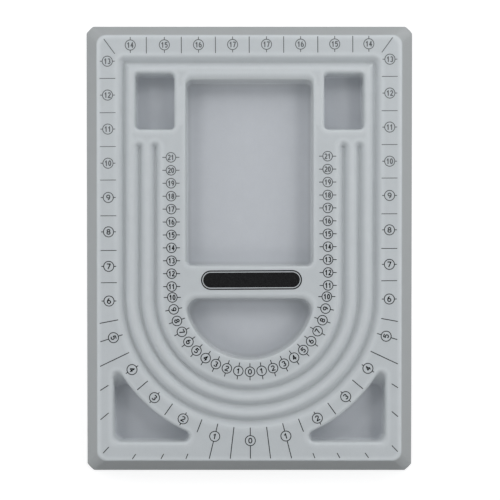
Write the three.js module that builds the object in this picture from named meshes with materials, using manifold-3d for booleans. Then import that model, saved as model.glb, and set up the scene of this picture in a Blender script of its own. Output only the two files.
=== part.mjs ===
// Bead board: one vacuum-formed plastic sheet, flocked on its upper side, with three U-shaped
// channels for laying out strands and six wells for loose beads. Millimetres, +Z up. The origin is
// the centre of the rim that stands on the table, and +Y points to the end with the square wells.
import * as THREE from "three";
import Module from "manifold-3d";

// Overall form: a flat deck, and a skirt that slopes out from it to the rim on the table
const HEIGHT = 19;
const DECK_WIDTH = 226.2;
const DECK_LENGTH = 315.8;
const DECK_CORNER_RADIUS = 7;
const SKIRT_RUN = 10;
const RIM_CORNER_RADIUS = 5;
const RIM_CORNER_FLATNESS = 0.85; // how far the rim's corners are cut off: 0 is round, 1 is straight across

// Layers, from the visible surface down: flock, its glue, the formed sheet
const FLOCK_PILE = 0.5;
const BOND_LINE = 0.1;
const SHEET_THICKNESS = 1;
const FLOCK_TRIM = 0.6; // the flock stops this far above the table

// Bends of the sheet
const DECK_EDGE_BEND = 0.4; // on the sheet's back, where the deck turns down into the skirt
const CHANNEL_RIM_BEND = 2.6; // on the sheet's back, where it turns down into a channel
const WELL_RIM_BEND = 0.7; // on the sheet's back, where it turns down into a well
const FLOOR_BEND_RADIUS = 1.2; // on the visible side, where a wall runs out into a floor
const SHARPEST_CORNER = 0.6; // in plan, where a wall's taper uses a corner up

// Channels: rounded V sections, three side by side round the foot of the board
const CHANNEL_WIDTH = 7.6;
const CHANNEL_DEPTH = 3.8;
const CHANNEL_BOTTOM_RADIUS = 1.2;
const CHANNEL_CREST = 0.1; // flat top of the ridge between two channels
const CHANNEL_CORNER_RADIUS = 1.2; // where the outer channel turns in along the top
const SIDE_STRIP = 19.9; // deck edge to the middle of the outer channel, for the outer scale
const TOP_STRIP = 19.7;
const FOOT_STRIP = 29.2;

// Wells: drafted walls, rounded rims and floors
const WELL_FLOOR_HEIGHT = 4;
const WELL_WALL_ANGLE = 88; // degrees from level
const CORNER_EASE = 0.6; // growth of a shallow corner's radius for each millimetre that the wall is drawn in
const LARGE_WELL_CORNER_RADIUS = 4.5;
const WELL_ARC_RISE = 1.3; // centre of the wells' arcs above the centre of the channels' arcs
const INNER_STRIP = 21.6; // inner channel to the half-moon well, for the inner scale
const LARGE_WELL_STRIP = 22.7; // inner channel to the side of the large well
const LARGE_WELL_SETBACK = 9.2; // top channel to the head of the large well
const HALF_MOON_DROP = 2.8; // from that centre down to the straight side of the half-moon
const HALF_MOON_CORNER_RADIUS = 9;
const BRIDGE = 24; // between the large well and the half-moon
const SQUARE_WELL_LENGTH = 41.6;
const SQUARE_WELL_CORNER_RADIUS = 3.2;
const SQUARE_WELL_SETBACK = 4.5; // top channel to the head of a square well
const SQUARE_WELL_STRIP = 4.4; // outer channel to its side
const WELL_RIB = 8.1; // between a square well and the large one
const CHANNEL_END_GAP = 9.4; // square well to the closed end of a channel
const CORNER_WELL_STRIP = 18.9; // outer channel to the curved side of a corner well
const CORNER_WELL_SIDE = 11.75; // deck edge to a corner well
const CORNER_WELL_FOOT = 13.8;
const CORNER_WELL_CORNER_RADIUS = 6;
const CORNER_WELL_FOOT_TIP = 4.2; // radii of its two tips
const CORNER_WELL_SIDE_TIP = 3.2;

// Steps that arcs and bends are cut into
const CHANNEL_STEPS = 18;
const HALF_MOON_STEPS = 16;
const CORNER_WELL_STEPS = 8;
const CORNER_STEPS = 4;
const BEND_STEPS = 2;
const OVERSHOOT = 1; // how far a cut runs past the face that it opens

const SHEET_FACE = FLOCK_PILE + BOND_LINE; // depths below the visible surface
const SHEET_BACK = SHEET_FACE + SHEET_THICKNESS;
const DECK_EDGE_RADIUS = DECK_EDGE_BEND + SHEET_BACK; // bends on the visible side
const CHANNEL_RIM_RADIUS = CHANNEL_RIM_BEND + SHEET_BACK;
const WELL_RIM_RADIUS = WELL_RIM_BEND + SHEET_BACK;

const SKIRT_ANGLE = Math.atan2(HEIGHT, SKIRT_RUN);
const WALL_ANGLE = THREE.MathUtils.degToRad(WELL_WALL_ANGLE);

// The channel's walls are tangent to its bottom radius and reach its width at the deck.
const CHANNEL_HALF = CHANNEL_WIDTH / 2;
const CHANNEL_RISE = CHANNEL_DEPTH - CHANNEL_BOTTOM_RADIUS;
const CHANNEL_ANGLE =
  Math.atan2(CHANNEL_RISE, CHANNEL_HALF) +
  Math.asin(CHANNEL_BOTTOM_RADIUS / Math.hypot(CHANNEL_RISE, CHANNEL_HALF));
const CHANNEL_PITCH =
  CHANNEL_WIDTH + 2 * CHANNEL_RIM_RADIUS * Math.tan(CHANNEL_ANGLE / 2) + CHANNEL_CREST;

// Plan of the board
const OUTER_CHANNEL = DECK_WIDTH / 2 - SIDE_STRIP; // radii of the channels' middle lines
const MIDDLE_CHANNEL = OUTER_CHANNEL - CHANNEL_PITCH;
const INNER_CHANNEL = MIDDLE_CHANNEL - CHANNEL_PITCH;
const CHANNEL_TOP = DECK_LENGTH / 2 - TOP_STRIP;
const CHANNEL_ARC_Y = -DECK_LENGTH / 2 + FOOT_STRIP + OUTER_CHANNEL; // centres of the arcs
const WELL_ARC_Y = CHANNEL_ARC_Y + WELL_ARC_RISE;
const HALF_MOON_RADIUS = INNER_CHANNEL - INNER_STRIP;
const HALF_MOON_TOP = WELL_ARC_Y - HALF_MOON_DROP;
const LARGE_WELL_HALF = INNER_CHANNEL - LARGE_WELL_STRIP;
const LARGE_WELL_TOP = CHANNEL_TOP - CHANNEL_HALF - LARGE_WELL_SETBACK;
const SQUARE_WELL_TOP = CHANNEL_TOP - CHANNEL_HALF - SQUARE_WELL_SETBACK;
const SQUARE_WELL_FOOT = SQUARE_WELL_TOP - SQUARE_WELL_LENGTH;
const SQUARE_WELL_OUTER = OUTER_CHANNEL - CHANNEL_HALF - SQUARE_WELL_STRIP;
const SQUARE_WELL_INNER = LARGE_WELL_HALF + WELL_RIB;
const CHANNEL_END = SQUARE_WELL_FOOT - CHANNEL_END_GAP - CHANNEL_HALF;

const wasm = await Module();
wasm.setup();

// Points along an arc, between two angles in degrees. It turns clockwise if the second is smaller.
function arc(x, y, radius, from, to, steps) {
  const [start, end] = [from, to].map(THREE.MathUtils.degToRad);
  return new THREE.EllipseCurve(x, y, radius, radius, start, end, to < from).getPoints(steps);
}

// The direction of a point from another, in degrees from +X.
function bearing(fromX, fromY, toX, toY) {
  return THREE.MathUtils.radToDeg(Math.atan2(toY - fromY, toX - fromX));
}

// Outlines run counterclockwise, drawn in by a distance that may be negative, with a fixed count of points.

function rectangle(left, right, foot, top, radius, flatness = 0) {
  const corners = [
    [right - radius, foot + radius, -90],
    [right - radius, top - radius, 0],
    [left + radius, top - radius, 90],
    [left + radius, foot + radius, 180],
  ];
  return corners.flatMap(([x, y, from]) => {
    const round = arc(x, y, radius, from, from + 90, CORNER_STEPS);
    const chord = new THREE.LineCurve(round[0].clone(), round.at(-1).clone()).getPoints(CORNER_STEPS);
    return round.map((point, i) => point.lerp(chord[i], flatness));
  });
}

function rectangularWell(left, right, foot, top, cornerRadius) {
  return (drawn) => {
    const radius = Math.max(cornerRadius - drawn, SHARPEST_CORNER);
    return rectangle(left + drawn, right - drawn, foot + drawn, top - drawn, radius);
  };
}

const largeWell = rectangularWell(
  -LARGE_WELL_HALF,
  LARGE_WELL_HALF,
  HALF_MOON_TOP + BRIDGE,
  LARGE_WELL_TOP,
  LARGE_WELL_CORNER_RADIUS,
);

function squareWell(left, right) {
  return rectangularWell(left, right, SQUARE_WELL_FOOT, SQUARE_WELL_TOP, SQUARE_WELL_CORNER_RADIUS);
}

// A circle segment whose two corners are rounded, under a straight side.
function halfMoonWell(drawn) {
  const radius = HALF_MOON_RADIUS - drawn;
  const corner = HALF_MOON_CORNER_RADIUS + CORNER_EASE * drawn;
  const y = HALF_MOON_TOP - drawn - corner;
  const x = Math.sqrt((radius - corner) ** 2 - (y - WELL_ARC_Y) ** 2);
  const turn = bearing(0, WELL_ARC_Y, x, y);
  return [
    ...arc(x, y, corner, turn, 90, CORNER_STEPS),
    ...arc(-x, y, corner, 90, 180 - turn, CORNER_STEPS),
    ...arc(0, WELL_ARC_Y, radius, 180 - turn, 360 + turn, HALF_MOON_STEPS).slice(1, -1),
  ];
}

// A corner of the deck cut off by an arc about the wells' centre, with rounded tips. Side is +1 or -1.
function cornerWell(side) {
  return (drawn) => {
    const right = DECK_WIDTH / 2 - CORNER_WELL_SIDE - drawn;
    const foot = -DECK_LENGTH / 2 + CORNER_WELL_FOOT + drawn;
    const radius = OUTER_CHANNEL + CORNER_WELL_STRIP + drawn;
    const corner = CORNER_WELL_CORNER_RADIUS + CORNER_EASE * drawn;
    const low = Math.max(CORNER_WELL_FOOT_TIP - drawn, SHARPEST_CORNER);
    const high = Math.max(CORNER_WELL_SIDE_TIP - drawn, SHARPEST_CORNER);
    const lowX = Math.sqrt((radius + low) ** 2 - (foot + low - WELL_ARC_Y) ** 2);
    const highY = WELL_ARC_Y - Math.sqrt((radius + high) ** 2 - (right - high) ** 2);
    const lowTurn = bearing(lowX, foot + low, 0, WELL_ARC_Y);
    const highTurn = bearing(right - high, highY, 0, WELL_ARC_Y);
    const points = [
      ...arc(lowX, foot + low, low, lowTurn, 270, CORNER_STEPS),
      ...arc(right - corner, foot + corner, corner, -90, 0, CORNER_STEPS),
      ...arc(right - high, highY, high, 0, highTurn, CORNER_STEPS),
      ...arc(0, WELL_ARC_Y, radius, highTurn + 180, lowTurn + 180, CORNER_WELL_STEPS).slice(1, -1),
    ];
    return side > 0 ? points : points.map((p) => new THREE.Vector2(-p.x, p.y)).reverse();
  };
}

// A U of two legs and an arc, with round ends.
function openChannel(radius) {
  return (drawn) => {
    const half = CHANNEL_HALF - drawn;
    return [
      ...arc(0, CHANNEL_ARC_Y, radius + half, 180, 360, CHANNEL_STEPS),
      ...arc(radius, CHANNEL_END, half, 0, 180, CORNER_STEPS),
      ...arc(0, CHANNEL_ARC_Y, radius - half, 360, 180, CHANNEL_STEPS),
      ...arc(-radius, CHANNEL_END, half, 0, 180, CORNER_STEPS),
    ];
  };
}

// The middle line of the outer channel, a closed loop, moved outwards by an offset.
function loop(offset) {
  const corner = Math.max(CHANNEL_CORNER_RADIUS + offset, SHARPEST_CORNER);
  const x = OUTER_CHANNEL + offset - corner;
  const y = CHANNEL_TOP + offset - corner;
  return [
    ...arc(0, CHANNEL_ARC_Y, OUTER_CHANNEL + offset, 180, 360, CHANNEL_STEPS),
    ...arc(x, y, corner, 0, 90, CORNER_STEPS),
    ...arc(-x, y, corner, 90, 180, CORNER_STEPS),
  ];
}

// Sections are points { drawn, z }, from the deck down, for a surface that lies a depth below the visible one.

// A bend about a centre, between two slopes. Its radius is negative where the bend is hollow.
function bend(centre, radius, from, to) {
  return Array.from({ length: BEND_STEPS + 1 }, (_, i) => {
    const slope = THREE.MathUtils.lerp(from, to, i / BEND_STEPS);
    return { drawn: centre.drawn + radius * Math.sin(slope), z: centre.z + radius * Math.cos(slope) };
  });
}

// The rim, where the deck turns down into a wall of a given slope.
function rim(slope, radius, depth) {
  const centre = { drawn: -radius * Math.tan(slope / 2), z: HEIGHT - radius };
  return bend(centre, radius - depth, 0, slope);
}

function wellSection(depth) {
  const drop = HEIGHT - WELL_FLOOR_HEIGHT - FLOOR_BEND_RADIUS * (1 - Math.cos(WALL_ANGLE));
  const centre = {
    drawn: drop / Math.tan(WALL_ANGLE) + FLOOR_BEND_RADIUS * Math.sin(WALL_ANGLE),
    z: WELL_FLOOR_HEIGHT + FLOOR_BEND_RADIUS,
  };
  return [...rim(WALL_ANGLE, WELL_RIM_RADIUS, depth), ...bend(centre, -FLOOR_BEND_RADIUS - depth, WALL_ANGLE, 0)];
}

// Half of the channel's section. The bend at the bottom ends in a narrow flat.
function channelSection(depth) {
  const centre = { drawn: CHANNEL_HALF, z: HEIGHT - CHANNEL_RISE };
  const bottom = bend(centre, -CHANNEL_BOTTOM_RADIUS - depth, CHANNEL_ANGLE, 0);
  return [...rim(CHANNEL_ANGLE, CHANNEL_RIM_RADIUS, depth), ...bottom.slice(0, -1)];
}

// A closed solid through rings with equal counts of points, lowest first. A looped one has no caps:
// its last ring joins its first.
function loft(rings, looped = false) {
  const count = rings[0].length;
  const triangles = [];
  const spans = looped ? rings.length : rings.length - 1;
  for (let ring = 0; ring < spans; ring++) {
    const low = ring * count;
    const high = ((ring + 1) % rings.length) * count;
    for (let i = 0; i < count; i++) {
      const next = (i + 1) % count;
      triangles.push([low + i, low + next, high + next], [low + i, high + next, high + i]);
    }
  }
  if (!looped) {
    const top = (rings.length - 1) * count;
    const flat = (ring) => THREE.ShapeUtils.triangulateShape(ring.map((p) => new THREE.Vector2(p.x, p.y)), []);
    flat(rings[0]).forEach(([a, b, c]) => triangles.push([a, c, b]));
    flat(rings.at(-1)).forEach(([a, b, c]) => triangles.push([top + a, top + b, top + c]));
  }
  return new wasm.Manifold(
    new wasm.Mesh({
      numProp: 3,
      vertProperties: new Float32Array(rings.flat().flatMap((p) => p.toArray())),
      triVerts: new Uint32Array(triangles.flat()),
    }),
  );
}

function raised(points, z) {
  return points.map((p) => new THREE.Vector3(p.x, p.y, z));
}

// The section with one more point straight above its rim, so that a cut opens the deck.
function opened(section) {
  return [{ drawn: section[0].drawn, z: HEIGHT + OVERSHOOT }, ...section];
}

// What a well or an open channel takes out of the block.
function pocket(outline, section) {
  return loft(opened(section).reverse().map(({ drawn, z }) => raised(outline(drawn), z)));
}

// What the closed outer channel takes out of the block: its outer side going up, its inner side going down.
function trough(section) {
  const points = opened(section);
  const outer = points.map(({ drawn, z }) => raised(loop(CHANNEL_HALF - drawn), z)).reverse();
  const inner = points.map(({ drawn, z }) => raised(loop(drawn - CHANNEL_HALF), z));
  return loft([...outer, ...inner], true);
}

// The deck and skirt as a solid block down to a base level.
function block(depth, base) {
  const edge = rim(SKIRT_ANGLE, DECK_EDGE_RADIUS, depth).reverse();
  const foot = { drawn: edge[0].drawn + (edge[0].z - base) / Math.tan(SKIRT_ANGLE), z: base };
  const rings = [foot, ...edge].map(({ drawn: out, z }) => {
    const part = out / SKIRT_RUN;
    const radius = THREE.MathUtils.lerp(DECK_CORNER_RADIUS, RIM_CORNER_RADIUS, part) - depth;
    const flatness = RIM_CORNER_FLATNESS * THREE.MathUtils.clamp(part, 0, 1);
    const [x, y] = [DECK_WIDTH / 2 + out, DECK_LENGTH / 2 + out];
    return raised(rectangle(-x, x, -y, y, radius, flatness), z);
  });
  return loft(rings);
}

// Everything that lies under the surface at a depth below the visible one, down to a base level.
function trayUnder(depth, base) {
  const well = wellSection(depth);
  const channel = channelSection(depth);
  const cuts = [
    pocket(largeWell, well),
    pocket(squareWell(SQUARE_WELL_INNER, SQUARE_WELL_OUTER), well),
    pocket(squareWell(-SQUARE_WELL_OUTER, -SQUARE_WELL_INNER), well),
    pocket(halfMoonWell, well),
    pocket(cornerWell(1), well),
    pocket(cornerWell(-1), well),
    pocket(openChannel(MIDDLE_CHANNEL), channel),
    pocket(openChannel(INNER_CHANNEL), channel),
    trough(channel),
  ];
  return cuts.reduce((tray, cut) => tray.subtract(cut), block(depth, base));
}

function layer(name, solid, material) {
  const { vertProperties, triVerts } = solid.getMesh();
  const geometry = new THREE.BufferGeometry();
  geometry.setAttribute("position", new THREE.BufferAttribute(vertProperties, 3));
  geometry.setIndex(new THREE.BufferAttribute(triVerts, 1));
  const mesh = new THREE.Mesh(geometry.toNonIndexed(), material);
  mesh.geometry.computeVertexNormals();
  mesh.name = name;
  return mesh;
}

const board = new THREE.Group();

// The formed sheet, open underneath, standing on its cut rim.
board.add(
  layer(
    "tray_shell",
    trayUnder(SHEET_FACE, 0).subtract(trayUnder(SHEET_BACK, -OVERSHOOT)),
    new THREE.MeshStandardMaterial({ color: 0x8f9496, roughness: 0.45, metalness: 0 }),
  ),
);

// The flock over the whole upper side.
board.add(
  layer(
    "flock_layer",
    trayUnder(0, FLOCK_TRIM).subtract(trayUnder(FLOCK_PILE, -OVERSHOOT)),
    new THREE.MeshStandardMaterial({ color: 0xbcc1c3, roughness: 1, metalness: 0 }),
  ),
);

export default board;
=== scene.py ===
"""Bead board: a flocked, vacuum-formed tray with three U-shaped channels, six wells and two printed scales.
Row frame in metres, +Z up from the table, +Y towards the square wells. Sizes below are millimetres."""

import bmesh
import bpy
import numpy as np
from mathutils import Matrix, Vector
from mathutils.geometry import delaunay_2d_cdt


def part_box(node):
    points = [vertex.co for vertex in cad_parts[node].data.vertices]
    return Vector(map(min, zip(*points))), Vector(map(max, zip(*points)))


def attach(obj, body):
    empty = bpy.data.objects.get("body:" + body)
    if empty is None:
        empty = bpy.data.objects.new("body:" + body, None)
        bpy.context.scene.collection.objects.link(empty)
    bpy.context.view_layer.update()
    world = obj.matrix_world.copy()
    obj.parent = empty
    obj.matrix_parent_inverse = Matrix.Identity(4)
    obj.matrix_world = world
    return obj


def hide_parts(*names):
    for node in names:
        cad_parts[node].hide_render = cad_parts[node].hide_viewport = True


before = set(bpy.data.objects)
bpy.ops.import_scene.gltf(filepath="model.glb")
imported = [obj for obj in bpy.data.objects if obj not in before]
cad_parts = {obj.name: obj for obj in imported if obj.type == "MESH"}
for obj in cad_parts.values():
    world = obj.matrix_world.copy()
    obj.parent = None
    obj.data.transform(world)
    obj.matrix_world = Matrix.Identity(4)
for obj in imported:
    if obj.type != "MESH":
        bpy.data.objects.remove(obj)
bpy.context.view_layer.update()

# Formed sheet: one polystyrene sheet drawn over a mould by vacuum, so deck, skirt, channels and wells are
# one surface. It is a closed layer between two copies of it, each a set depth under the visible one.
# The rim stands on the table, and the underside is open and shows the smooth grey back of the sheet.
MM = 0.001
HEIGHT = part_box("flock_layer")[1].z / MM
FLOCK_PILE = 0.5
BOND_LINE = 0.1
SHEET_THICKNESS = 1.0
SHEET_FACE = FLOCK_PILE + BOND_LINE
SHEET_BACK = SHEET_FACE + SHEET_THICKNESS

BEND_STEPS = 6
# How the painted rim highlight holds and then falls off along a bend.
RIM_HIGHLIGHT_START = 1.6
RIM_HIGHLIGHT_FALL = 2.2
RIM_MARGIN = 0.04
INNER_BEND = 0.15
LONG_STRAIGHT = 5
SHORT_STRAIGHT = 1
WALL_ROWS = (0.25, 0.8, 1.4, 2.0)
END_ROW = 0.25


def bend(drawn, z, radius, start, end, rim_highlight):
    """Rows of (drawn, z, highlight, cover) on an arc about a centre, at even slopes. Its painted highlight
    fades along it.
    """
    part = np.linspace(0, 1, BEND_STEPS + 1)
    slope = start + (end - start) * part
    fade = rim_highlight * np.clip(RIM_HIGHLIGHT_START - RIM_HIGHLIGHT_FALL * part, 0, 1)
    cover_and_shade = np.ones_like(part)
    return np.stack([drawn + radius * np.sin(slope), z + radius * np.cos(slope), fade, cover_and_shade], 1)


# The last argument is the strength of the painted highlight on the rim's bend.
def rim(slope, radius, depth, rim_highlight=1):
    """A flat margin on the deck, then the bend that turns down to a slope. Deep under a tight bend the
    radius stays a little over nothing."""
    radius = max(radius, depth + INNER_BEND)
    rows = bend(-radius * np.tan(slope / 2), HEIGHT - radius, radius - depth, 0, slope, rim_highlight)
    return np.concatenate([rows[:1] - [[RIM_MARGIN, 0, 0, 0]], rows])


def supported(rows):
    """The section with more rows in each straight, close to its ends, so that bends keep their own shade."""
    out = [rows[:1]]
    for a, b in zip(rows, rows[1:]):
        span = np.hypot(*(b - a)[:2])
        near = []
        if span > LONG_STRAIGHT:
            near = [*WALL_ROWS, span - END_ROW]
        elif span > SHORT_STRAIGHT:
            near = [END_ROW, span - END_ROW]
        out.append(a + (b - a) * np.array([*near, span])[:, None] / span)
    return np.concatenate(out)


DECK_WIDTH = 226.2
DECK_LENGTH = 315.8
DECK_CORNER = 7.0
DECK_EDGE = SHEET_BACK + 0.4
# The deck's outer edge gets a stronger painted highlight than the other rims.
DECK_RIM_HIGHLIGHT = 1.7
SKIRT_RUN = 10.0
SKIRT_ANGLE = np.arctan2(HEIGHT, SKIRT_RUN)
SKIRT_COVER = 2.4
RIM_CORNER = 5.0
RIM_FLATNESS = 0.85
CORNER_STEPS = 10


def arc(x, y, radius, start, end, steps):
    """Points about (x, y) at a radius, at even angles from start to end in degrees, for all levels."""
    angle = np.radians(start + (end - start) * np.linspace(0, 1, steps + 1))
    px, py = np.broadcast_arrays(x + radius * np.cos(angle), y + radius * np.sin(angle))
    return np.stack([px, py], -1)


def rectangle(left, right, foot, top, radius, flat=0.0):
    """Four quarter arcs of one radius set in from the corners, each moved towards its chord by a share. The
    straight sides are the gaps between them."""
    corners = [
        arc(right - radius, foot + radius, radius, -90, 0, CORNER_STEPS),
        arc(right - radius, top - radius, radius, 0, 90, CORNER_STEPS),
        arc(left + radius, top - radius, radius, 90, 180, CORNER_STEPS),
        arc(left + radius, foot + radius, radius, 180, 270, CORNER_STEPS),
    ]
    part = np.linspace(0, 1, CORNER_STEPS + 1)[:, None]
    chords = [points[:, :1] + (points[:, -1:] - points[:, :1]) * part for points in corners]
    share = np.reshape(flat, (-1, 1, 1))
    return np.concatenate([a + (b - a) * share for a, b in zip(corners, chords)], 1)


def skirt(depth):
    """The deck's rectangle let out by a distance. On the way to the rim its corner radius goes from the
    deck's to the rim's, and its corners are cut flatter."""
    def outline(out):
        part = out / SKIRT_RUN
        x = DECK_WIDTH / 2 + out
        y = DECK_LENGTH / 2 + out
        corner = DECK_CORNER + (RIM_CORNER - DECK_CORNER) * part - depth
        return rectangle(-x, x, -y, y, corner, RIM_FLATNESS * np.clip(part, 0, 1))
    return outline


def skirt_section(depth, base):
    """The deck's edge, along which the flock's cover falls to nothing, then one straight slope to a base."""
    # The deck's edge bend carries the strongest painted highlight of all rims.
    edge = rim(SKIRT_ANGLE, DECK_EDGE, depth, DECK_RIM_HIGHLIGHT)
    edge[:, 3] = np.clip(np.linspace(SKIRT_COVER, 0, len(edge)), 0, 1)
    drop = edge[-1, 1] - base
    foot = edge[-1:] + [[drop / np.tan(SKIRT_ANGLE), -drop, 0, 0]]
    return supported(np.concatenate([edge, foot]))


CHANNEL_HALF = 3.8
CHANNEL_DEPTH = 3.8
CHANNEL_BOTTOM = 1.2
CHANNEL_CREST = 0.1
CHANNEL_CORNER = 1.2
CHANNEL_RIM = SHEET_BACK + 2.6
CHANNEL_RISE = CHANNEL_DEPTH - CHANNEL_BOTTOM
CHANNEL_ANGLE = np.arctan2(CHANNEL_RISE, CHANNEL_HALF) + np.arcsin(
    CHANNEL_BOTTOM / np.hypot(CHANNEL_RISE, CHANNEL_HALF)
)
CHANNEL_PITCH = 2 * CHANNEL_HALF + 2 * CHANNEL_RIM * np.tan(CHANNEL_ANGLE / 2) + CHANNEL_CREST
OUTER_CHANNEL = DECK_WIDTH / 2 - 19.9
MIDDLE_CHANNEL = OUTER_CHANNEL - CHANNEL_PITCH
INNER_CHANNEL = MIDDLE_CHANNEL - CHANNEL_PITCH
CHANNEL_TOP = DECK_LENGTH / 2 - 19.7
CHANNEL_ARC_Y = -DECK_LENGTH / 2 + 29.2 + OUTER_CHANNEL
SQUARE_TOP = CHANNEL_TOP - CHANNEL_HALF - 4.5
SQUARE_FOOT = SQUARE_TOP - 41.6
CHANNEL_END = SQUARE_FOOT - 9.4 - CHANNEL_HALF
# Painted shade in the lower half of each channel.
HOLLOW_SHADE = 0.24
SHARPEST = 0.6
ARC_STEPS = 90


def open_channel(radius):
    """A U of two legs and a half circle about the channels' centre, as wide as is left, with round ends."""
    def outline(drawn):
        half = CHANNEL_HALF - drawn
        return np.concatenate([
            arc(0, CHANNEL_ARC_Y, radius + half, 180, 360, ARC_STEPS),
            arc(radius, CHANNEL_END, half, 0, 180, CORNER_STEPS),
            arc(0, CHANNEL_ARC_Y, radius - half, 360, 180, ARC_STEPS),
            arc(-radius, CHANNEL_END, half, 0, 180, CORNER_STEPS),
        ], 1)
    return outline


def closed_channel(side):
    """One side of the outer channel: its middle line, a half circle and two corners, moved out or in by what
    is left of its half width."""
    def outline(drawn):
        offset = side * (CHANNEL_HALF - drawn)
        corner = np.maximum(CHANNEL_CORNER + offset, SHARPEST)
        x = OUTER_CHANNEL + offset - corner
        y = CHANNEL_TOP + offset - corner
        return np.concatenate([
            arc(0, CHANNEL_ARC_Y, OUTER_CHANNEL + offset, 180, 360, ARC_STEPS),
            arc(x, y, corner, 0, 90, CORNER_STEPS),
            arc(-x, y, corner, 90, 180, CORNER_STEPS),
        ], 1)
    return outline


def channel_section(depth):
    """Rim, straight wall and the hollow bend that ends on the channel's middle line. The lower half gets
    painted shade."""
    foot = bend(CHANNEL_HALF, HEIGHT - CHANNEL_RISE, -CHANNEL_BOTTOM - depth, CHANNEL_ANGLE, 0, 0)
    rows = supported(np.concatenate([rim(CHANNEL_ANGLE, CHANNEL_RIM, depth), foot]))
    rows[:, 3] -= HOLLOW_SHADE * np.clip(2 * (rows[0, 1] - rows[:, 1]) / CHANNEL_DEPTH - 1, 0, 1)
    return rows


WELL_FLOOR = 4.0
WELL_WALL = np.radians(88)
FLOOR_BEND = 1.2
FLOOR_MARGIN = 0.2
SOFT_RIM = SHEET_BACK + 0.7
# Painted shade on the wells' walls, light under the soft rims and heavier under the tight ones.
SOFT_WALL_SHADE = 0.1
TIGHT_RIM = 1.3
TIGHT_WALL_SHADE = 0.35
WALL_SHADE_FROM = 0.3
SHOULDER_FALL = 1.3
CORNER_EASE = 0.6
WELL_ARC_Y = CHANNEL_ARC_Y + 1.3
HALF_MOON_RADIUS = INNER_CHANNEL - 21.6
HALF_MOON_TOP = WELL_ARC_Y - 2.8
HALF_MOON_CORNER = 9.0
HALF_MOON_STEPS = 80
MOON_SHOULDER = 2.0
LARGE_HALF = INNER_CHANNEL - 22.7
LARGE_FOOT = HALF_MOON_TOP + 24.0
LARGE_TOP = CHANNEL_TOP - CHANNEL_HALF - 9.2
LARGE_CORNER = 4.5
LARGE_SHOULDER = 3.4
SQUARE_INNER = LARGE_HALF + 8.1
SQUARE_OUTER = OUTER_CHANNEL - CHANNEL_HALF - 4.4
SQUARE_CORNER = 3.2
CORNER_SIDE = DECK_WIDTH / 2 - 11.75
CORNER_FOOT = -DECK_LENGTH / 2 + 13.8
CORNER_ARC = OUTER_CHANNEL + 18.9
CORNER_ARC_STEPS = 40
CORNER_CORNER = 6.0
FOOT_TIP = 4.2
FOOT_RAMP = 0.3
SIDE_TIP = 3.2
SIDE_RAMP = 4.2


def well_section(depth, radius, shade_and_thin):
    """Rim, straight wall at the draft angle, hollow bend, flat margin on the floor. Painted shade darkens
    the flock from about a millimetre under the deck, and ends a little way in on the floor."""
    drop = HEIGHT - WELL_FLOOR - FLOOR_BEND * (1 - np.cos(WELL_WALL))
    centre = drop / np.tan(WELL_WALL) + FLOOR_BEND * np.sin(WELL_WALL)
    foot = bend(centre, WELL_FLOOR + FLOOR_BEND, -FLOOR_BEND - depth, WELL_WALL, 0, 0)
    margin = foot[-1:] + [[FLOOR_MARGIN, 0, 0, 0]]
    rows = supported(np.concatenate([rim(WELL_WALL, radius, depth), foot, margin]))
    rows[:, 3] -= shade_and_thin * np.clip(rows[0, 1] - rows[:, 1] - WALL_SHADE_FROM, 0, 1)
    return rows


def shoulder(section, width):
    """How far a well's head side stands back at each row: the full width at the deck, less in step with the
    way down, and nothing below the fall."""
    return width * np.clip(1 - (section[0, 1] - section[:, 1:2]) / SHOULDER_FALL, 0, 1)


def rectangular_well(left, right, foot, top, corner, back=0.0):
    """A rectangle drawn in by a distance: its sides move in and its corner radius shrinks by that much. Its
    head side stands back."""
    def outline(drawn):
        radius = np.maximum(corner - drawn, SHARPEST)
        return rectangle(left + drawn, right - drawn, foot + drawn, top - drawn + back, radius)
    return outline


def half_moon(back):
    """A circle segment under a straight side: two corner arcs that touch both, then the large arc."""
    def outline(drawn):
        radius = HALF_MOON_RADIUS - drawn
        corner = HALF_MOON_CORNER + CORNER_EASE * drawn
        y = HALF_MOON_TOP - drawn + back - corner
        x = np.sqrt((radius - corner) ** 2 - (y - WELL_ARC_Y) ** 2)
        turn = np.degrees(np.arctan2(y - WELL_ARC_Y, x))
        return np.concatenate([
            arc(x, y, corner, turn, 90, CORNER_STEPS),
            arc(-x, y, corner, 90, 180 - turn, CORNER_STEPS),
            arc(0, WELL_ARC_Y, radius, 180 - turn, 360 + turn, HALF_MOON_STEPS)[:, 1:-1],
        ], 1)
    return outline


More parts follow.
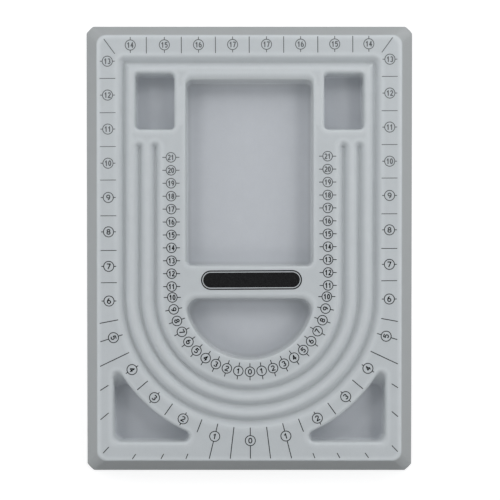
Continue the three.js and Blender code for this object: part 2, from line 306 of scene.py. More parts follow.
def corner_well(side, section):
    """A corner of the deck cut off by an arc about the wells' centre: foot tip, corner and side tip as small
    arcs that touch their neighbours, then the large arc. The sheet spans the sharp tips, so there the radius
    grows towards the floor and the wall is a ramp."""
    down = np.clip((HEIGHT - section[:, 1:2]) / (HEIGHT - WELL_FLOOR), 0, 1)

    def outline(drawn):
        right = CORNER_SIDE - drawn
        foot = CORNER_FOOT + drawn
        radius = CORNER_ARC + drawn
        corner = CORNER_CORNER + CORNER_EASE * drawn
        low = np.maximum(FOOT_TIP - drawn + FOOT_RAMP * down, SHARPEST)
        high = np.maximum(SIDE_TIP - drawn + SIDE_RAMP * down, SHARPEST)
        low_x = np.sqrt((radius + low) ** 2 - (foot + low - WELL_ARC_Y) ** 2)
        high_y = WELL_ARC_Y - np.sqrt((radius + high) ** 2 - (right - high) ** 2)
        low_turn = np.degrees(np.arctan2(WELL_ARC_Y - foot - low, -low_x))
        high_turn = np.degrees(np.arctan2(WELL_ARC_Y - high_y, high - right))
        points = np.concatenate([
            arc(low_x, foot + low, low, low_turn, 270, CORNER_STEPS),
            arc(right - corner, foot + corner, corner, -90, 0, CORNER_STEPS),
            arc(right - high, high_y, high, 0, high_turn, CORNER_STEPS),
            arc(0, WELL_ARC_Y, radius, high_turn + 180, low_turn + 180, CORNER_ARC_STEPS)[:, 1:-1],
        ], 1)
        return points if side > 0 else (points * [-1, 1])[:, ::-1]
    return outline


LONGEST_STEP = 4.0
RIM_HIGHLIGHT_BAND = 2.6
BAND_CLEAR = 0.9 * RIM_HIGHLIGHT_BAND
SAME_POINT = 1e-5
MERGE_DISTANCE = 2e-6
SHARP_EDGE = np.radians(50)


def lofted(outline, section, flip=False):
    """Rings of (x, y, z, painted highlight, cover and shade): the outline drawn in by each row of the
    section, at its height, with quads between. Long steps are split by their length on the last ring, so
    that two sides that meet there share points."""
    flat = outline(section[:, :1])
    step = np.roll(flat, -1, 1) - flat
    splits = np.ceil(np.linalg.norm(step[-1], axis=1) / LONGEST_STEP - 1e-6)
    count = np.maximum(splits.astype(int), 1)
    column = np.repeat(np.arange(len(count)), count)
    part = (np.arange(len(column)) - np.repeat(np.cumsum(count) - count, count)) / count[column]
    flat = flat[:, column] + step[:, column] * part[:, None]
    level = np.broadcast_to(section[:, None, 1:], (*flat.shape[:2], 3))
    rings = np.concatenate([flat, level], -1)
    index = np.arange(rings.shape[0] * rings.shape[1]).reshape(rings.shape[:2])
    along = np.roll(index, -1, 1)
    quads = np.stack([index[:-1], along[:-1], along[1:], index[1:]], -1).reshape(-1, 4)
    return rings, (rings.reshape(-1, 5), quads[:, ::-1] if flip else quads)


def flat_face(outer, *holes):
    """Triangles between an outer ring and the rings of its holes, all at one height. Loose points a little
    way in from each ring, where no other ring is as near, end the band of painted rim highlight."""
    rings = [outer, *holes]
    points = np.concatenate(rings)
    starts = np.cumsum([0] + [len(ring) for ring in rings])
    loops = [list(range(a, b)) for a, b in zip(starts, starts[1:])]
    band = []
    for ring, side in zip(rings, [1] + [-1] * len(holes)):
        along = np.roll(ring[:, :2], -1, 0) - np.roll(ring[:, :2], 1, 0)
        across = np.stack([-along[:, 1], along[:, 0]], 1) / np.linalg.norm(along, axis=1)[:, None]
        band.append(ring[:, :2] + side * RIM_HIGHLIGHT_BAND * across)
    band = np.concatenate(band)
    near = np.sqrt(((band[:, None] - points[None, :, :2]) ** 2).sum(-1)).min(1)
    band = band[near > BAND_CLEAR]
    rows = np.zeros((len(points) + len(band), 5))
    rows[:len(points)] = points
    rows[len(points):, :2] = band
    rows[len(points):, 2:] = points[0, 2], 0, 1
    flat = [Vector(point) for point in rows[:, :2]]
    _, _, faces, sources, _, loops_of_faces = delaunay_2d_cdt(flat, [], loops, 1, SAME_POINT, True)
    tris = np.array([list(tri) for tri, inside in zip(faces, loops_of_faces) if list(inside) == [0]])
    rows = rows[[same[0] for same in sources]]
    a, b, c = (rows[tris[:, i], :2] for i in range(3))
    turn = (b - a)[:, 0] * (c - a)[:, 1] - (b - a)[:, 1] * (c - a)[:, 0]
    tris[turn < 0] = tris[turn < 0][:, ::-1]
    return rows, tris


def tray_surface(depth, base):
    """The board's upper surface moved in by a depth: skirt, channels and wells lofted, deck and floors
    filled flat. Also gives the ring at the skirt's foot."""
    channel = channel_section(depth)
    soft = well_section(depth, SOFT_RIM, SOFT_WALL_SHADE)
    tight = well_section(depth, TIGHT_RIM, TIGHT_WALL_SHADE)
    large_back = shoulder(tight, LARGE_SHOULDER)
    moon_back = shoulder(tight, MOON_SHOULDER)
    large = rectangular_well(-LARGE_HALF, LARGE_HALF, LARGE_FOOT, LARGE_TOP, LARGE_CORNER, large_back)
    right = rectangular_well(SQUARE_INNER, SQUARE_OUTER, SQUARE_FOOT, SQUARE_TOP, SQUARE_CORNER)
    left = rectangular_well(-SQUARE_OUTER, -SQUARE_INNER, SQUARE_FOOT, SQUARE_TOP, SQUARE_CORNER)
    moon = half_moon(moon_back)
    skirt_rings, skirt_part = lofted(skirt(depth), skirt_section(depth, base), flip=True)
    outside_rings, outside_part = lofted(closed_channel(1), channel)
    inside_rings, inside_part = lofted(closed_channel(-1), channel, flip=True)
    legs = [lofted(open_channel(radius), channel) for radius in (MIDDLE_CHANNEL, INNER_CHANNEL)]
    middle_wells = [lofted(large, tight), lofted(right, soft), lofted(left, soft), lofted(moon, tight)]
    corner_wells = [lofted(corner_well(side, soft), soft) for side in (1, -1)]
    wells = middle_wells + corner_wells
    parts = [skirt_part, outside_part, inside_part] + [part for _, part in wells + legs]
    parts += [flat_face(rings[-1]) for rings, _ in wells]
    parts.append(flat_face(skirt_rings[0], outside_rings[0], *(rings[0] for rings, _ in corner_wells)))
    parts.append(flat_face(inside_rings[0], *(rings[0] for rings, _ in middle_wells + legs)))
    return parts, skirt_rings[-1]


def joined(name, parts):
    """One mesh of many parts of (x, y, z, painted highlight, cover and shade) rows and faces, in metres,
    equal points merged.
    """
    starts = np.cumsum([0] + [len(rows) for rows, _ in parts])
    rows = np.concatenate([rows for rows, _ in parts])
    moved = [np.asarray(faces) + start for (_, faces), start in zip(parts, starts)]
    mesh = bpy.data.meshes.new(name)
    mesh.from_pydata((rows[:, :3] * MM).tolist(), [], [face for faces in moved for face in faces.tolist()])
    for column, attribute in ((3, "rim_highlight"), (4, "cover_and_shade")):
        values = mesh.attributes.new(attribute, "FLOAT", "POINT").data
        values.foreach_set("value", rows[:, column].astype(np.float32))
    work = bmesh.new()
    work.from_mesh(mesh)
    bmesh.ops.remove_doubles(work, verts=work.verts, dist=MERGE_DISTANCE)
    work.to_mesh(mesh)
    work.free()
    mesh.shade_smooth()
    mesh.set_sharp_from_angle(angle=SHARP_EDGE)
    piece = bpy.data.objects.new(name, mesh)
    bpy.context.scene.collection.objects.link(piece)
    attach(piece, "root")
    return piece


def layer(name, face_depth, back_depth, base):
    """A closed layer: the surface at one depth, the surface at a greater depth turned over, and a strip of
    quads round the foot between them."""
    face, face_foot = tray_surface(face_depth, base)
    back, back_foot = tray_surface(back_depth, base)
    count = len(face_foot)
    here = np.arange(count)
    along = np.roll(here, -1)
    strip = np.stack([here, here + count, along + count, along], 1)
    back = [(rows, np.asarray(faces)[:, ::-1]) for rows, faces in back]
    return joined(name, [*face, *back, (np.concatenate([face_foot, back_foot]), strip)])


def shader(name):
    """A new material's node tree, its surface shader, and short ways to add a node and a link."""
    material = bpy.data.materials.new(name)
    material.use_nodes = True
    tree = material.node_tree

    def add(kind, **values):
        node = tree.nodes.new(kind)
        for key, value in values.items():
            if key in node.inputs:
                node.inputs[key].default_value = value
            else:
                setattr(node, key, value)
        return node

    return material, tree.nodes["Principled BSDF"], add, tree.links.new


formed_sheet = layer("formed_sheet", SHEET_FACE, SHEET_BACK, 0)
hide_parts("tray_shell")

SHEET_DARK = (0.235, 0.250, 0.260, 1)
SHEET_LIGHT = (0.300, 0.318, 0.328, 1)
sheet_finish, surface, add, link = shader("satin_sheet")
place = add("ShaderNodeTexCoord")
cloud = add("ShaderNodeTexNoise", Scale=35.0, Detail=4.0)
tint = add("ShaderNodeValToRGB")
tint.color_ramp.elements[0].color = SHEET_DARK
tint.color_ramp.elements[1].color = SHEET_LIGHT
link(place.outputs["Object"], cloud.inputs["Vector"])
link(cloud.outputs["Fac"], tint.inputs["Fac"])
link(tint.outputs["Color"], surface.inputs["Base Color"])
surface.inputs["Roughness"].default_value = 0.42
grain = add("ShaderNodeTexNoise", Scale=1400.0, Detail=2.0)
relief = add("ShaderNodeBump", Strength=0.12, Distance=0.0002)
link(place.outputs["Object"], grain.inputs["Vector"])
link(grain.outputs["Fac"], relief.inputs["Height"])
link(relief.outputs["Normal"], surface.inputs["Normal"])
formed_sheet.data.materials.append(sheet_finish)

# Flock: short grey nylon fibres shot into wet glue, so they stand on end over the whole upper side, down to
# a trim line just over the table. It lies thinner on the skirt, which looks darker. The rims get a painted
# highlight, walls and hollows painted shade, and the floors a cooler tint of painted shade.
FLOCK_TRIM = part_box("flock_layer")[0].z / MM
flock = layer("flock", 0, FLOCK_PILE, FLOCK_TRIM)
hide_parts("flock_layer")

FLOCK_DARK = (0.400, 0.427, 0.445, 1)
FLOCK_LIGHT = (0.680, 0.714, 0.733, 1)
# Tone of thin flock on the skirt, and of painted shade on walls and hollows.
THIN_FLOCK_AND_SHADE = (0.385, 0.402, 0.408, 1)
# A cooler tint of painted shade on the wells' floors, fading out over a rise above them.
FLOOR_SHADE_TINT = (1.0, 0.985, 1.012, 1)
FLOOR_SHADE_RISE = 6
MIDDLE_GREY = 0.30
NAP_SHARE = 0.12
FIBRE_SHARE = 0.20
RIM_HIGHLIGHT_SHARE = 0.15
flock_finish, surface, add, link = shader("grey_flock")
place = add("ShaderNodeTexCoord")
nap = add("ShaderNodeTexNoise", Scale=120.0, Detail=3.0)
fibre = add("ShaderNodeTexNoise", Scale=1600.0, Detail=3.0, Roughness=0.7)
# The rim attribute lightens the flock's tone: a painted highlight on the rims.
rim_highlight = add("ShaderNodeAttribute", attribute_name="rim_highlight")
napped = add("ShaderNodeMath", operation="MULTIPLY_ADD")
napped.inputs[1].default_value = NAP_SHARE
napped.inputs[2].default_value = MIDDLE_GREY
furred = add("ShaderNodeMath", operation="MULTIPLY_ADD")
furred.inputs[1].default_value = FIBRE_SHARE
highlighted = add("ShaderNodeMath", operation="MULTIPLY_ADD")
highlighted.inputs[1].default_value = RIM_HIGHLIGHT_SHARE
tint = add("ShaderNodeValToRGB")
tint.color_ramp.elements[0].color = FLOCK_DARK
tint.color_ramp.elements[1].color = FLOCK_LIGHT
link(place.outputs["Object"], nap.inputs["Vector"])
link(place.outputs["Object"], fibre.inputs["Vector"])
link(nap.outputs["Fac"], napped.inputs[0])
link(fibre.outputs["Fac"], furred.inputs[0])
link(napped.outputs[0], furred.inputs[2])
link(rim_highlight.outputs["Fac"], highlighted.inputs[0])
link(furred.outputs[0], highlighted.inputs[2])
link(highlighted.outputs[0], tint.inputs["Fac"])
# Painted shade: the flock is tinted cooler near the wells' floors.
level = add("ShaderNodeSeparateXYZ")
floor_shade_depth = add("ShaderNodeMapRange")
floor_shade_depth.inputs["From Min"].default_value = (WELL_FLOOR + FLOOR_SHADE_RISE) * MM
floor_shade_depth.inputs["From Max"].default_value = WELL_FLOOR * MM
floor_shaded = add("ShaderNodeMix", data_type="RGBA", blend_type="MULTIPLY")
floor_shaded.inputs[7].default_value = FLOOR_SHADE_TINT
link(place.outputs["Object"], level.inputs["Vector"])
link(level.outputs["Z"], floor_shade_depth.inputs["Value"])
link(floor_shade_depth.outputs["Result"], floor_shaded.inputs[0])
link(tint.outputs["Color"], floor_shaded.inputs[6])
# Where the attribute below is low, the flock goes to the thin tone: thin flock on the skirt, painted shade
# on walls and hollows.
cover_and_shade = add("ShaderNodeAttribute", attribute_name="cover_and_shade")
shade_and_thin = add("ShaderNodeMix", data_type="RGBA")
shade_and_thin.inputs[6].default_value = THIN_FLOCK_AND_SHADE
link(cover_and_shade.outputs["Fac"], shade_and_thin.inputs[0])
link(floor_shaded.outputs[2], shade_and_thin.inputs[7])
link(shade_and_thin.outputs[2], surface.inputs["Base Color"])
surface.inputs["Roughness"].default_value = 1.0
surface.inputs["Specular IOR Level"].default_value = 0.1
surface.inputs["Sheen Weight"].default_value = 0.12
surface.inputs["Sheen Roughness"].default_value = 0.5
relief = add("ShaderNodeBump", Strength=0.35, Distance=0.0004)
link(fibre.outputs["Fac"], relief.inputs["Height"])
link(relief.outputs["Normal"], surface.inputs["Normal"])
flock.data.materials.append(flock_finish)

# Inch scale: black screen print on the flock from 0 at the foot to 17 at the head, a ringed number for each
# inch and a line for each half. Each mark is a thin closed slab of ink in the tips of the fibres. The screen
# sat a little turned, and the squeegee ran short of ink towards the head, so the marks are greyer there.
INK_TOP = HEIGHT + 0.04
INK_FOOT = HEIGHT - 0.15
INK_HAIR = 0.005
PRINT_TURN = np.radians(0.3)
LINE = 0.62
PEN = 0.8
PEN_STEPS = 6
BOW_STEP = 9
DIGIT_GAP = 0.2
SINGLE_WIDTH = 0.72
DOUBLE_WIDTH = 0.55
# Each digit in a box from -1 to 1: lines as (x, y, end x, end y), and bows as (x, y, half width,
# half height, start angle, end angle).
DIGITS = (
    [(0, 0, 1, 1, 0, 360)],
    [(-0.7, 0.5, 0.1, 1), (0.1, 1, 0.1, -1)],
    [(0, 0.45, 0.95, 0.55, -30, 165), (0.82, 0.18, -1, -1), (-1, -1, 1, -1)],
    [(-0.05, 0.5, 0.9, 0.5, -90, 150), (-0.05, -0.5, 1, 0.5, -150, 90)],
    [(0.45, -1, 0.45, 1), (0.45, 1, -1, -0.4), (-1, -0.4, 1, -0.4)],
    [(0.85, 1, -0.75, 1), (-0.75, 1, -0.85, 0.1), (0, -0.35, 1, 0.65, -145, 140)],
    [(0, -0.4, 1, 0.6, 0, 360), (0.4, -0.4, 1.4, 1.4, 95, 180)],
    [(-1, 1, 1, 1), (1, 1, -0.35, -1)],
    [(0, 0.5, 0.85, 0.5, 0, 360), (0, -0.5, 1, 0.5, 0, 360)],
    [(0, 0.4, 1, 0.6, 0, 360), (-0.4, 0.4, 1.4, 1.4, -85, 0)],
)


def stroke(start, end, width):
    """A straight line of ink: two half circles about its ends, as one face."""
    x, y = start
    end_x, end_y = end
    turn = np.degrees(np.arctan2(end_y - y, end_x - x))
    points = np.concatenate([
        arc(end_x, end_y, width / 2, turn - 90, turn + 90, PEN_STEPS),
        arc(x, y, width / 2, turn + 90, turn + 270, PEN_STEPS),
    ])
    return points, np.arange(len(points))[None]


def bow(x, y, half_width, half_height, start, end, width):
    """A band of ink along an arc of an ellipse, as quads: half the width to each side, on its normal."""
    steps = int(np.ceil((end - start) / BOW_STEP))
    angle = np.radians(np.linspace(start, end, steps + 1))[:steps if end - start == 360 else None]
    count = len(angle)
    across = np.stack([np.cos(angle) / half_width, np.sin(angle) / half_height], 1)
    across *= width / 2 / np.linalg.norm(across, axis=1)[:, None]
    middle = np.stack([x + half_width * np.cos(angle), y + half_height * np.sin(angle)], 1)
    here = np.arange(steps)
    along = (here + 1) % count
    quads = np.stack([here, along, along + count, here + count], 1)
    return np.concatenate([middle + across, middle - across]), quads


def placed(part, x, y, turn):
    """A flat part turned about its origin by an angle in degrees and moved to a point."""
    c, s = np.cos(np.radians(turn)), np.sin(np.radians(turn))
    return part[0] @ np.array([[c, s], [-s, c]]) + [x, y], part[1]


def numeral(number, height, x, y, turn):
    """A number drawn with one pen: the lines and bows of its digits scaled to a height and set side by side,
    then turned and moved to a point. Two digits are drawn narrower, to fit their ring."""
    digits = [int(figure) for figure in str(number)]
    tall = (height - PEN) / 2
    wide = ((SINGLE_WIDTH if number < 10 else DOUBLE_WIDTH) * height - PEN) / 2
    parts = []
    for order, digit in enumerate(digits):
        middle = (order - (len(digits) - 1) / 2) * (2 * wide + PEN + DIGIT_GAP)
        for start_x, start_y, *rest in DIGITS[digit]:
            start = middle + start_x * wide, start_y * tall
            if len(rest) == 2:
                parts.append(stroke(start, (middle + rest[0] * wide, rest[1] * tall), PEN))
            else:
                parts.append(bow(*start, rest[0] * wide, rest[1] * tall, rest[2], rest[3], PEN))
    return [placed(part, x, y, turn) for part in parts]


def ringed(number, height, radius, x, y, turn):
    """A number in a circle of ink: a bow all the way round, inside a radius, and the numeral in it."""
    middle = radius - LINE / 2
    return [bow(x, y, middle, middle, 0, 360, LINE), *numeral(number, height, x, y, turn)]


def slab(part, proud):
    """Ink under one flat part turned with the screen: its faces, the same turned over lower down, and quads
    along the edges of one face only."""
    points, faces = part
    c, s = np.cos(PRINT_TURN), np.sin(PRINT_TURN)
    points = points @ np.array([[c, s], [-s, c]])
    count = len(points)
    rows = np.zeros((2 * count, 5))
    rows[:, :2] = np.concatenate([points, points])
    rows[:, 2] = np.repeat([INK_TOP + proud, INK_FOOT - proud], count)
    a, b = faces.ravel(), np.roll(faces, -1, 1).ravel()
    once = ~np.isin(a * count + b, b * count + a)
    a, b = a[once], b[once]
    walls = np.stack([a + count, b + count, b, a], 1)
    return [(rows, faces), (rows, faces[:, ::-1] + count), (rows, walls)]


INK_BLACK = (0.005, 0.005, 0.0055, 1)
INK_GREY = (0.030, 0.031, 0.032, 1)
BARE_FIBRE = (0.50, 0.53, 0.55, 1)
FADE_FROM_Y = -0.01
FADE_TO_Y = 0.07
FADE_SHARE = 0.26
ink_finish, surface, add, link = shader("matt_ink")
place = add("ShaderNodeTexCoord")
soak = add("ShaderNodeTexNoise", Scale=1600.0, Detail=3.0, Roughness=0.7)
tint = add("ShaderNodeValToRGB")
tint.color_ramp.elements[0].position = 0.40
tint.color_ramp.elements[0].color = INK_BLACK
tint.color_ramp.elements[1].position = 0.85
tint.color_ramp.elements[1].color = INK_GREY
link(place.outputs["Object"], soak.inputs["Vector"])
link(soak.outputs["Fac"], tint.inputs["Fac"])
along = add("ShaderNodeSeparateXYZ")
spent = add("ShaderNodeMapRange")
spent.inputs["From Min"].default_value = FADE_FROM_Y
spent.inputs["From Max"].default_value = FADE_TO_Y
spent.inputs["To Max"].default_value = FADE_SHARE
fade = add("ShaderNodeMix", data_type="RGBA")
fade.inputs[7].default_value = BARE_FIBRE
link(place.outputs["Object"], along.inputs["Vector"])
link(along.outputs["Y"], spent.inputs["Value"])
link(spent.outputs["Result"], fade.inputs[0])
link(tint.outputs["Color"], fade.inputs[6])
link(fade.outputs[2], surface.inputs["Base Color"])
surface.inputs["Roughness"].default_value = 0.85
surface.inputs["Specular IOR Level"].default_value = 0.15


def printed(name, parts):
    """All the slabs of one print as one piece of ink. Every other slab is a hair thicker, so that strokes
    that meet share no edge."""
    slabs = [slab(part, INK_HAIR * (order % 2)) for order, part in enumerate(parts)]
    piece = joined(name, [side for sides in slabs for side in sides])
    piece.data.materials.append(ink_finish)


INCH_RING = 4.05
INCH_DIGIT = 4.3
RING_LAP = 0.3
PRINT_FOOT = -156.0
LEFT_EDGE = 111.2
RIGHT_EDGE = 109.8
FARTHEST = 160.5
# On the arc: each number's radius, the ends of the lines, and what goes on beyond a corner well.
INCH_RADIUS = (108.7, 108.7, 104.9, 104.3, 103.7, 106.1)
INCH_START = 99.2
INCH_EDGE_GAP = 0.4
INCH_STUB = 1.1
HALF_START = 99.6
HALF_LAG = 0.03
WELL_EDGE = 109.4
BEYOND_SIDE = 105.5
BEYOND_FOOT = -152.7
BEYOND_FARTHEST = 155.3
BEYOND_TURN = 0.3
# In the two columns, where the right one leans out a little, and half-inch lines are finer.
LEFT_COLUMN = -104.45
RIGHT_COLUMN = 104.3
COLUMN_LEAN = 0.15
COLUMN_FOOT = -37.7
COLUMN_SKEW = 0.2
COLUMN_PITCH = 25.43
COLUMN_BOW = 0.06
COLUMN_STUB = 1.2
COLUMN_HALVES = (13.6, 11.8, 11.9, 12.9, 12.3, 12.1, 12.3)
TICK = 0.5
TICK_HALF = 5.7
# In the row along the head, with a slanted line into each corner of the deck.
HEAD_X = 0.95
HEAD_Y = 151.0
HEAD_FIRST = 12.55
HEAD_PITCH = 25.25
HEAD_HALVES = (13.35, 12.7, 12.7)
HEAD_MIDDLE = 0.7
HEAD_INCH_FOOT = 145.4
HEAD_HALF_FOOT = 145.0
HEAD_TOP = 156.6
SLANT_OUT_X = 106.8
SLANT_OUT_Y = 155.4
SLANT_IN_X = 99.0
SLANT_IN_Y = 144.8


def inch_angle(inches):
    """Degrees round the arc from straight down: nearly even, a little wider towards the sides."""
    return 14.0 * inches + 0.11 * inches ** 2


def polar(angle, radius):
    """A point at an angle from straight down and a radius, about the wells' centre."""
    return radius * np.sin(np.radians(angle)), WELL_ARC_Y - radius * np.cos(np.radians(angle))


def reach(angle, side_x, foot_y=PRINT_FOOT):
    """How far from the wells' centre a line at an angle from straight down meets a side or a foot line."""
    turn = np.radians(abs(angle))
    return min(side_x / max(np.sin(turn), 1e-6), (WELL_ARC_Y - foot_y) / np.cos(turn))


marks = []
for side, print_edge in ((-1, LEFT_EDGE), (1, RIGHT_EDGE)):
    for inch in range(1 if side > 0 else 0, 6):
        angle = side * inch_angle(inch)
        radius = INCH_RADIUS[inch]
        start = INCH_START
        end = reach(angle, print_edge - INCH_EDGE_GAP)
        if inch in (2, 3, 4):
            start = radius - INCH_RING - INCH_STUB
            end = radius + INCH_RING + INCH_STUB
        marks += ringed(inch, INCH_DIGIT, INCH_RING, *polar(angle, radius), angle)
        marks.append(stroke(polar(angle, start), polar(angle, radius - INCH_RING + RING_LAP), LINE))
        marks.append(stroke(polar(angle, radius + INCH_RING - RING_LAP), polar(angle, end), LINE))
    for half in np.arange(0.5, 6, 0.5):
        angle = side * (inch_angle(half) - HALF_LAG * half ** 2)
        crosses = 1.5 <= half <= 4
        if half % 1:
            end = WELL_EDGE if crosses else min(reach(angle, print_edge), FARTHEST)
            marks.append(stroke(polar(angle, HALF_START), polar(angle, end), LINE))
        if crosses:
            angle += side * BEYOND_TURN
            start = min(reach(angle, BEYOND_SIDE, BEYOND_FOOT), BEYOND_FARTHEST)
            end = min(reach(angle, print_edge), FARTHEST)
            marks.append(stroke(polar(angle, start), polar(angle, end), LINE))
    for inch in range(6, 14):
        x = LEFT_COLUMN if side < 0 else RIGHT_COLUMN + COLUMN_LEAN * (inch - 9.5)
        y = COLUMN_FOOT + COLUMN_SKEW * side + COLUMN_PITCH * (inch - 6) - COLUMN_BOW * (inch - 9) ** 2
        marks += ringed(inch, INCH_DIGIT, INCH_RING, x, y, 0)
        marks.append(stroke((x - INCH_RING - COLUMN_STUB, y), (x - INCH_RING + RING_LAP, y), LINE))
        marks.append(stroke((x + INCH_RING - RING_LAP, y), (x + INCH_RING + COLUMN_STUB, y), LINE))
        if inch < 13:
            half = y + COLUMN_HALVES[inch - 6]
            marks.append(stroke((x - TICK_HALF, half), (x + TICK_HALF, half), TICK))
    for inch in range(14, 18):
        x = HEAD_X + side * (HEAD_FIRST + HEAD_PITCH * (17 - inch))
        marks += ringed(inch, INCH_DIGIT, INCH_RING, x, HEAD_Y, 0)
        marks.append(stroke((x, HEAD_INCH_FOOT), (x, HEAD_Y - INCH_RING + RING_LAP), LINE))
        marks.append(stroke((x, HEAD_Y + INCH_RING - RING_LAP), (x, HEAD_TOP), LINE))
        if inch > 14:
            half = x + side * HEAD_HALVES[inch - 15]
            marks.append(stroke((half, HEAD_HALF_FOOT), (half, HEAD_TOP), LINE))
    marks.append(stroke((side * SLANT_OUT_X, SLANT_OUT_Y), (side * SLANT_IN_X, SLANT_IN_Y), LINE))
marks.append(stroke((HEAD_MIDDLE, HEAD_HALF_FOOT), (HEAD_MIDDLE, HEAD_TOP), LINE))
printed("inch_scale", marks)

# Centimetre scale: the same ink on the strip inside the channels, from 0 at the foot to 21 beside the large
# well. Every centimetre is a number in a ring, with a short line across the strip on both sides of the ring.
CENTIMETRE_RING = 3.87
CENTIMETRE_DIGIT = 4.15
CENTIMETRE_RADIUS = 57.4
CENTIMETRE_ANGLE = 8.68
CENTIMETRE_SPREAD = 0.014
STRIP_X = 58.1
STRIP_SHIFT = 0.3
STRIP_SKEW = 0.13
STRIP_FOOT = -37.4
STRIP_PITCH = 9.58
STRIP_LINE = 6.1

marks = []
for side in (-1, 1):
    for centimetre in range(1 if side > 0 else 0, 22):
        angle = side * (CENTIMETRE_ANGLE * centimetre + CENTIMETRE_SPREAD * centimetre ** 2)
        turn, across = (angle, angle) if centimetre < 10 else (0, side * 90)
        x, y = polar(angle, CENTIMETRE_RADIUS)
        if centimetre > 10:
            x = side * STRIP_X + STRIP_SHIFT
            y = STRIP_SKEW * side + STRIP_FOOT + STRIP_PITCH * (centimetre - 10)
        marks += ringed(centimetre, CENTIMETRE_DIGIT, CENTIMETRE_RING, x, y, turn)
        for out in (-1, 1):
            line = stroke((0, out * (CENTIMETRE_RING - RING_LAP)), (0, out * STRIP_LINE), LINE)
            marks.append(placed(line, x, y, across))
printed("centimetre_scale", marks)

# Plate: a long black field with round ends on the bridge between the two middle wells, inside a thin black
# line. It is the same ink, printed solid, and it is left bare.
PLATE_X = 1.5
PLATE_Y = -23.35
PLATE_STEPS = 24


def capsule(length, width):
    """A straight field with half circles for its ends, counterclockwise."""
    straight = (length - width) / 2
    return np.concatenate([
        arc(PLATE_X + straight, PLATE_Y, width / 2, -90, 90, PLATE_STEPS),
        arc(PLATE_X - straight, PLATE_Y, width / 2, 90, 270, PLATE_STEPS),
    ])


field = capsule(length=71.9, width=11.2)
outer = capsule(length=75.0, width=14.45)
inner = capsule(length=73.1, width=12.55)
here = np.arange(len(outer))
along = np.roll(here, -1)
band = np.stack([here, along, along + len(outer), here + len(outer)], 1)
printed("plate_field", [(field, np.arange(len(field))[None])])
printed("plate_line", [(np.concatenate([outer, inner]), band)])

# Stage: a plain pale floor that keeps the board's shadow and grows white away from it, in studio light.
# Softboxes stand all round the board, with more light from its head and sides than from its foot, so rims
# and walls that face the foot are darker. Places and sizes here are metres.
FLOOR_HALF = 8
FLOOR_Z = -0.0002
FLOOR_GREY = (0.45, 0.45, 0.45, 1)
WHITE = (1, 1, 1, 1)
ROOM_BLUE = (0.9, 0.95, 1, 1)
BOX_SHARE = 0.38
floor_corners = np.array([(-1, -1), (1, -1), (1, 1), (-1, 1)]) * FLOOR_HALF
floor_mesh = bpy.data.meshes.new("floor")
floor_mesh.from_pydata([(x, y, FLOOR_Z) for x, y in floor_corners.tolist()], [], [(0, 1, 2, 3)])
floor = bpy.data.objects.new("floor", floor_mesh)
bpy.context.scene.collection.objects.link(floor)

floor_finish, surface, add, link = shader("pale_floor")
surface.inputs["Base Color"].default_value = FLOOR_GREY
surface.inputs["Roughness"].default_value = 1.0
surface.inputs["Specular IOR Level"].default_value = 0.0
path = add("ShaderNodeLightPath")
place = add("ShaderNodeTexCoord")
away = add("ShaderNodeVectorMath", operation="LENGTH")
whiten = add("ShaderNodeMapRange")
whiten.inputs["From Min"].default_value = 0.3
whiten.inputs["From Max"].default_value = 1.5
whiten.inputs["To Min"].default_value = 0.7
glow = add("ShaderNodeEmission", Color=WHITE)
link(place.outputs["Object"], away.inputs[0])
link(away.outputs["Value"], whiten.inputs["Value"])
link(whiten.outputs["Result"], glow.inputs["Strength"])
seen = add("ShaderNodeAddShader")
seen_ray = add("ShaderNodeMath", operation="ADD", use_clamp=True)
seen_any = add("ShaderNodeMath", operation="ADD", use_clamp=True)
pick = add("ShaderNodeMixShader")
output = next(node for node in floor_finish.node_tree.nodes if node.type == "OUTPUT_MATERIAL")
link(path.outputs["Is Camera Ray"], seen_ray.inputs[0])
link(path.outputs["Is Glossy Ray"], seen_ray.inputs[1])
link(seen_ray.outputs[0], seen_any.inputs[0])
link(path.outputs["Is Transmission Ray"], seen_any.inputs[1])
link(surface.outputs[0], seen.inputs[0])
link(glow.outputs[0], seen.inputs[1])
link(seen_any.outputs[0], pick.inputs[0])
link(surface.outputs[0], pick.inputs[1])
link(seen.outputs[0], pick.inputs[2])
link(pick.outputs[0], output.inputs["Surface"])
floor_mesh.materials.append(floor_finish)

world = bpy.data.worlds.new("studio")
bpy.context.scene.world = world
world.use_nodes = True
nodes = world.node_tree.nodes
links = world.node_tree.links
room = nodes["Background"]
room.inputs["Color"].default_value = ROOM_BLUE
room.inputs["Strength"].default_value = 0.12
white = nodes.new("ShaderNodeBackground")
white.inputs["Color"].default_value = WHITE
white.inputs["Strength"].default_value = 1.0
path = nodes.new("ShaderNodeLightPath")
pick = nodes.new("ShaderNodeMixShader")
links.new(path.outputs["Is Camera Ray"], pick.inputs[0])
links.new(room.outputs[0], pick.inputs[1])
links.new(white.outputs[0], pick.inputs[2])
links.new(pick.outputs[0], nodes["World Output"].inputs["Surface"])


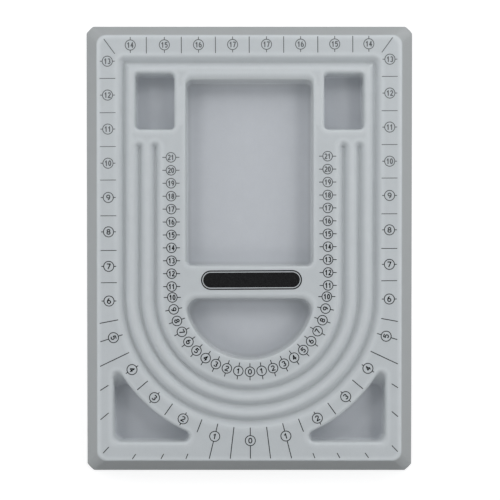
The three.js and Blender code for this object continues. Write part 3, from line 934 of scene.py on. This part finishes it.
def softbox(name, bearing, rise, distance, power):
    """A square area light that faces the middle of the board, at a bearing from the head, clockwise, a rise
    over the table and a distance. Its side is a share of the distance."""
    turn, lift = np.radians(bearing), np.radians(rise)
    place = distance * np.array([np.cos(lift) * np.sin(turn), np.cos(lift) * np.cos(turn), np.sin(lift)])
    light = bpy.data.lights.new(name, "AREA")
    light.shape = "RECTANGLE"
    light.size = distance * BOX_SHARE
    light.size_y = distance * BOX_SHARE
    light.energy = power
    lamp = bpy.data.objects.new(name, light)
    lamp.location = place
    lamp.rotation_euler = (-Vector(place)).to_track_quat("-Z", "Y").to_euler()
    lamp.visible_camera = False
    bpy.context.scene.collection.objects.link(lamp)


softbox("north", bearing=0, rise=40, distance=1.3, power=1.85)
softbox("north_east", bearing=45, rise=40, distance=1.3, power=2.6)
softbox("near_east", bearing=90, rise=40, distance=0.65, power=0.7)
softbox("south_east", bearing=135, rise=40, distance=1.3, power=0.85)
softbox("south", bearing=180, rise=40, distance=1.3, power=1.45)
softbox("south_west", bearing=225, rise=40, distance=1.3, power=1.35)
softbox("west", bearing=270, rise=40, distance=1.3, power=1.2)
softbox("north_west", bearing=315, rise=40, distance=1.3, power=2.9)
softbox("low_north", bearing=0, rise=18, distance=0.65, power=0.68)
softbox("low_north_east", bearing=45, rise=18, distance=1.3, power=1.6)
softbox("low_east", bearing=90, rise=18, distance=1.3, power=3.0)
softbox("low_south", bearing=180, rise=18, distance=1.3, power=1.15)
softbox("low_west", bearing=270, rise=18, distance=0.65, power=1.0)

# Camera: above the foot half of the board and tipped a little to the foot, with its lens shifted back to the
# middle, as in the photograph, where the head of the board is a little wider than the foot.
PICTURE_WIDTH = 500
PIXELS_PER_MM = 1.3465
SENSOR = 36
CAMERA_RISE = 950
CAMERA_Y = -18.5
CAMERA_TIP = np.radians(1.03)
MIDDLE_X = 0.5
MIDDLE_Y = -1.1
lens = bpy.data.cameras.new("camera")
lens.sensor_width = SENSOR
lens.lens = SENSOR * CAMERA_RISE * PIXELS_PER_MM / PICTURE_WIDTH
lens.shift_y = np.tan(np.arctan2(MIDDLE_Y - CAMERA_Y, CAMERA_RISE) + CAMERA_TIP) * lens.lens / SENSOR
lens.clip_end = 100
camera = bpy.data.objects.new("camera", lens)
camera.location = (MIDDLE_X * MM, CAMERA_Y * MM, (HEIGHT + CAMERA_RISE) * MM)
camera.rotation_euler = (-CAMERA_TIP, 0, 0)
bpy.context.scene.collection.objects.link(camera)
bpy.context.scene.camera = camera
bpy.context.scene.view_settings.view_transform = "Standard"
